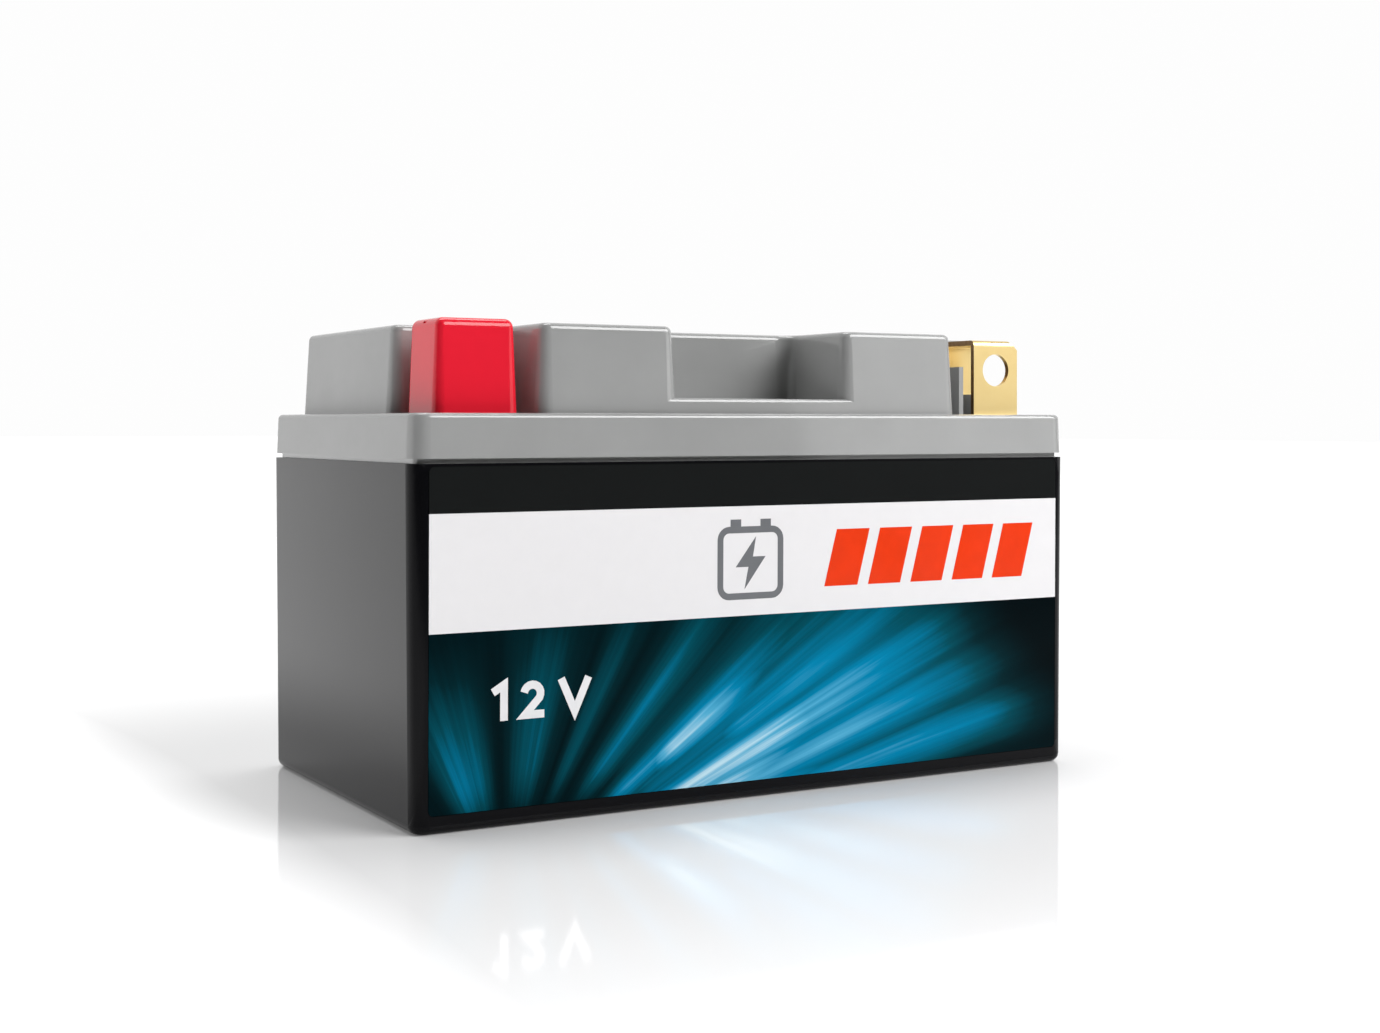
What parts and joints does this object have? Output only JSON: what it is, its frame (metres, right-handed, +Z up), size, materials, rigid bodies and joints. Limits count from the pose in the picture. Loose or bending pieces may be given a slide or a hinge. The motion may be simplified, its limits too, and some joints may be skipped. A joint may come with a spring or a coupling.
{
  "type": "motorcycle battery",
  "caption": "Rectangular lithium motorcycle battery with a stepped lid, brass screw terminals, a red cap that lifts off the positive terminal, and a charge indicator with a push button.",
  "frame": {"origin": "middle of the base, on the surface the battery stands on", "axes": "+X along the long side towards the negative terminal, +Y from the terminal side to the back, +Z up"},
  "size_m": [0.15, 0.087, 0.0936],
  "materials": {
    "case": "gloss",
    "lid": "satin",
    "seal": "matte",
    "label": "gloss",
    "terminal": "satin",
    "cap": "satin",
    "panel": "gloss",
    "button": "matte",
    "lens": "polished",
    "lamp": "gloss",
    "board": "gloss",
    "component": "matte",
    "screw": "satin",
    "cell": "gloss",
    "holder": "matte",
    "strip": "satin",
    "lead": "satin",
    "foam": "matte",
    "insulator": "matte",
    "socket": "matte",
    "wire": "satin"
  },
  "bodies": {
    "battery": {"balancer_board": "board", "balancer_chip": "component", "balancer_socket": "socket", "base_insulator": "insulator", "base_pad": "foam", "bleed_resistor_1": "component", "bleed_resistor_2": "component", "bleed_resistor_3": "component", "bleed_resistor_4": "component", "board_screw_left": "screw", "board_screw_right": "screw", "case": "case", "cell_1": "cell", "cell_2": "cell", "cell_3": "cell", "cell_4": "cell", "cell_5": "cell", "cell_6": "cell", "cell_7": "cell", "cell_8": "cell", "cell_holder_bottom": "holder", "cell_holder_top": "holder", "foam_back": "foam", "foam_front": "foam", "foam_left": "foam", "foam_right": "foam", "front_label": "label", "indicator_board": "board", "indicator_lamp_1": "lamp", "indicator_lamp_2": "lamp", "indicator_lamp_3": "lamp", "indicator_lens_1": "lens", "indicator_lens_2": "lens", "indicator_lens_3": "lens", "indicator_panel": "panel", "indicator_ribbon": "socket", "indicator_switch": "component", "lid": "lid", "lid_seal": "seal", "negative_lead": "lead", "negative_terminal": "terminal", "positive_lead": "lead", "positive_terminal": "terminal", "sense_wire_negative": "wire", "sense_wire_positive": "wire", "strip_negative_end": "strip", "strip_pairs_1_2": "strip", "strip_pairs_2_3": "strip", "strip_pairs_3_4": "strip", "strip_positive_end": "strip", "top_insulator": "insulator", "top_pad": "foam"},
    "terminal_cap": {"positive_terminal_cap": "cap"},
    "button": {"indicator_button": "button"}
  },
  "joints": [
    {"name": "positive_cap_lift", "type": "slide", "parent": "battery", "child": "terminal_cap", "axis": [0, 0, 1], "range_m": [0, 0.03]},
    {"name": "test_button_press", "type": "slide", "parent": "battery", "child": "button", "axis": [0, 0, -1], "range_m": [0, 0.0006], "stiffness_N_per_m": 900, "springref_m": -0.0006}
  ]
}
